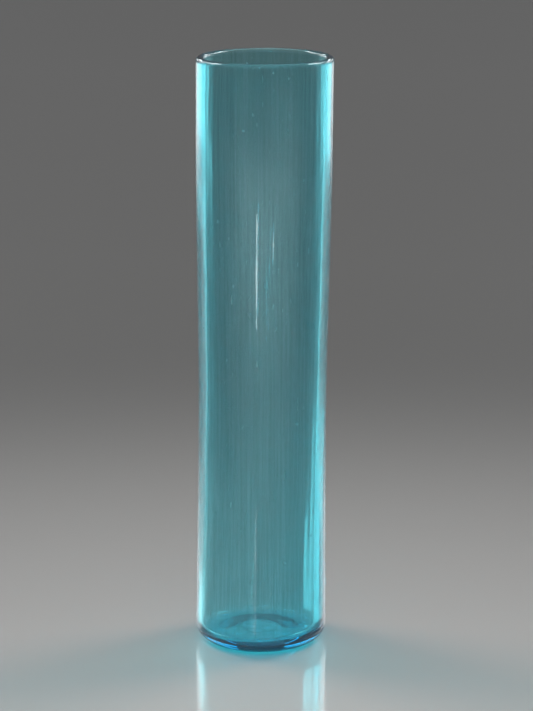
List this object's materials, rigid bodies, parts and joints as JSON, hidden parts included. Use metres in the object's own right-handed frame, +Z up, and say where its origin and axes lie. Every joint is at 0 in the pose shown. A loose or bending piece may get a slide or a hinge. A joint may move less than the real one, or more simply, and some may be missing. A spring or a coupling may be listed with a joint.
{
  "type": "blown glass cylinder vase",
  "caption": "Tall slim free-standing cylinder vase in clear turquoise blown glass, with a rounded lip, a slightly waisted wall, a thick rounded base and a pontil mark under its kick-up.",
  "frame": {"origin": "centre of the ring that the vase stands on, at table height", "axes": "+Z up the vase's axis, from the base to the mouth; X and Y lie in the table's surface"},
  "size_m": [0.07, 0.07, 0.305],
  "materials": {
    "clear_glass": "clear turquoise glass, fire polished, with fine seed bubbles and cords",
    "base_glass": "clear turquoise glass, thick enough to look deep azure",
    "scar_glass": "broken and partly fire polished turquoise glass"
  },
  "bodies": {
    "root": {"lip": "clear_glass", "wall": "clear_glass", "heel": "base_glass", "floor": "base_glass", "pontil_mark": "scar_glass"}
  },
  "joints": []
}
